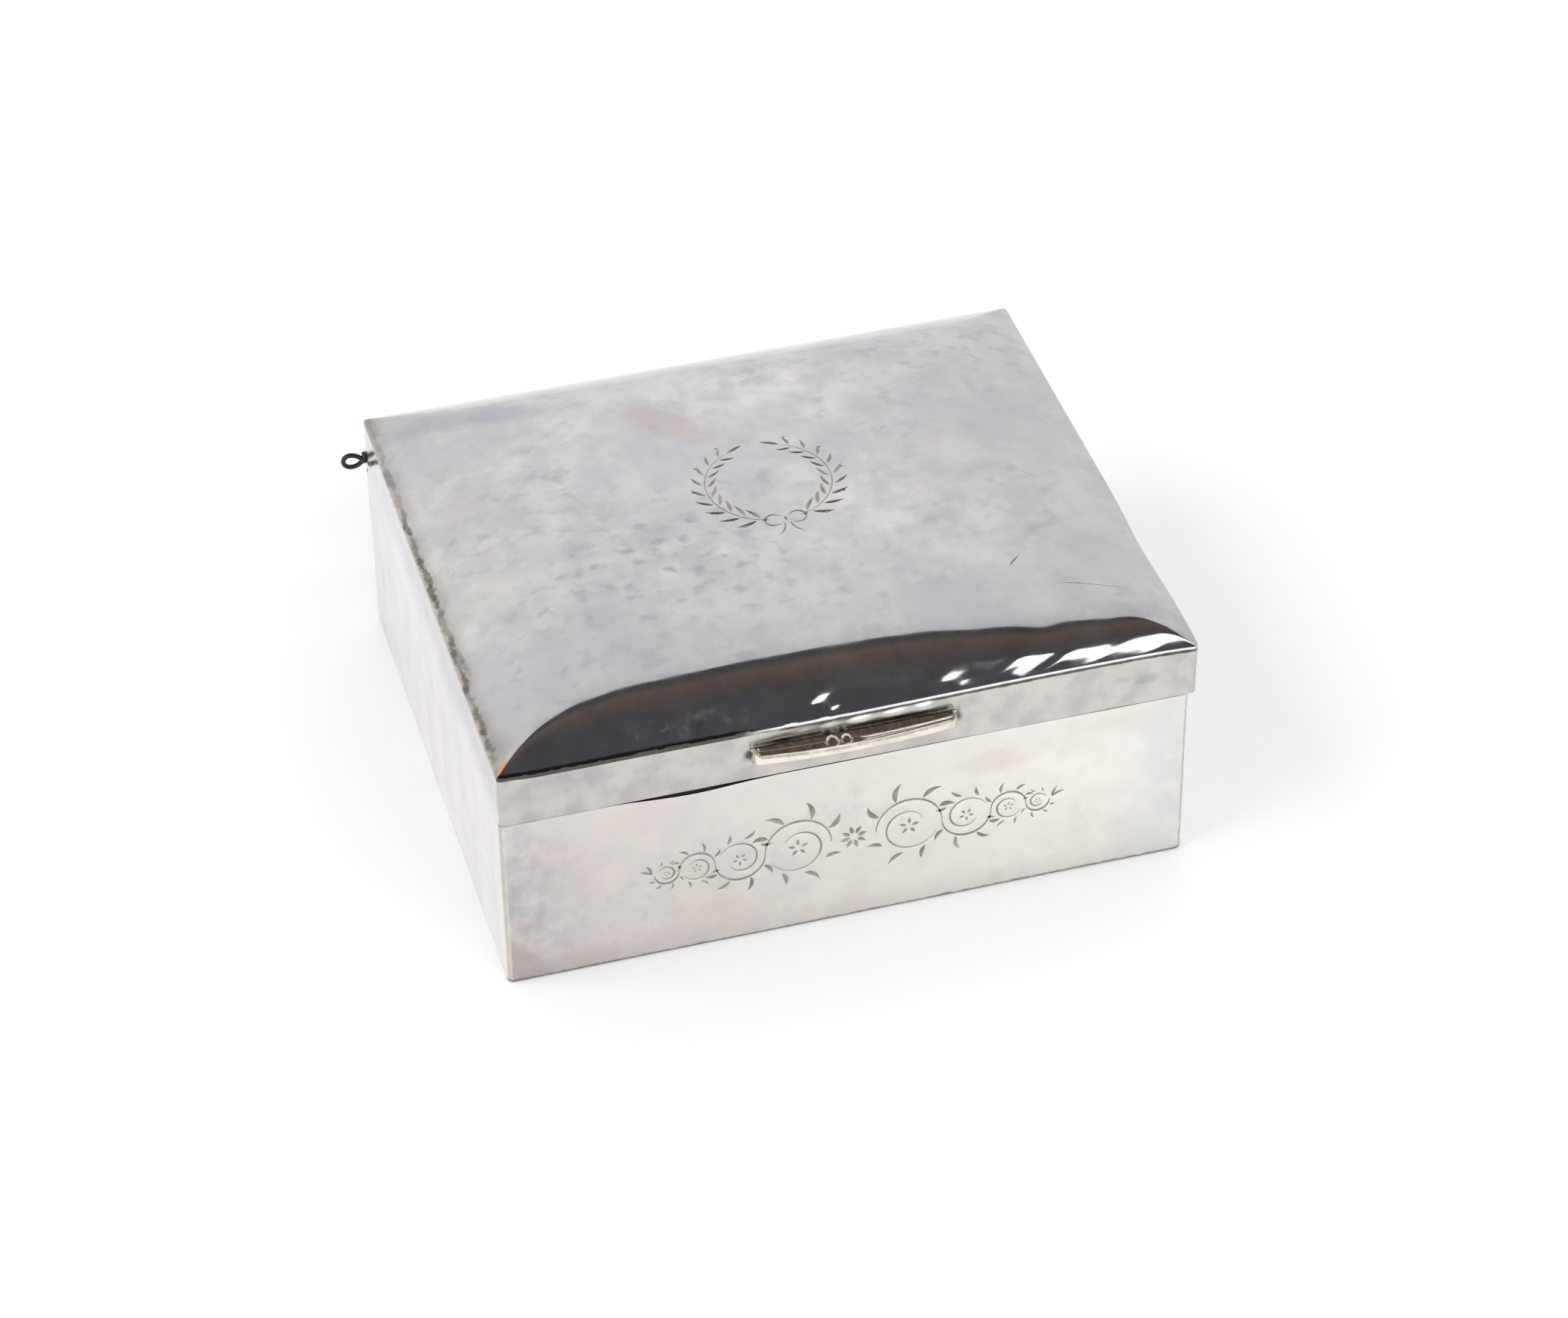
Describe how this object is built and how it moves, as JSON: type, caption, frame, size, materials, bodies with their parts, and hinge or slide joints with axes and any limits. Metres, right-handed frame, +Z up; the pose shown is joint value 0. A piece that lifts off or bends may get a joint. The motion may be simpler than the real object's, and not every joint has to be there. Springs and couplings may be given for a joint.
{
  "type": "table cigar box",
  "caption": "Table cigar box in tarnished sheet silver: pillow lid with a long thumb-piece on a full-length barrel hinge, wire hinge pin with an eye, cedar lining.",
  "frame": {"origin": "middle of the flat underside of the base", "axes": "+Z up, +X to the right as seen from the front, -Y to the front with the thumb-piece"},
  "size_m": [0.1732, 0.153, 0.0714],
  "materials": {
    "silver": "sheet silver, handled and tarnished",
    "cedar": "bare planed cedar",
    "iron": "dark iron wire"
  },
  "bodies": {
    "base": {"base_band": "silver", "base_plate": "silver", "base_bearer": "silver", "base_knuckle_1": "silver", "base_knuckle_2": "silver", "base_knuckle_3": "silver", "base_knuckle_4": "silver", "lining_floor": "cedar", "lining_front": "cedar", "lining_back": "cedar", "lining_left": "cedar", "lining_right": "cedar", "divider": "cedar"},
    "lid": {"lid_band": "silver", "lid_dome": "silver", "lid_bearer": "silver", "lid_knuckle_1": "silver", "lid_knuckle_2": "silver", "lid_knuckle_3": "silver", "thumb_piece": "silver"},
    "hinge_pin": {"hinge_pin": "iron"}
  },
  "joints": [
    {"name": "lid_hinge", "type": "hinge", "parent": "base", "child": "lid", "pos_m": [0, 0.0739, 0.04845], "axis": [-1, 0, 0], "range_deg": [0, 98]},
    {"name": "pin_slide", "type": "slide", "parent": "base", "child": "hinge_pin", "axis": [-1, 0, 0], "range_m": [0, 0.17]}
  ]
}
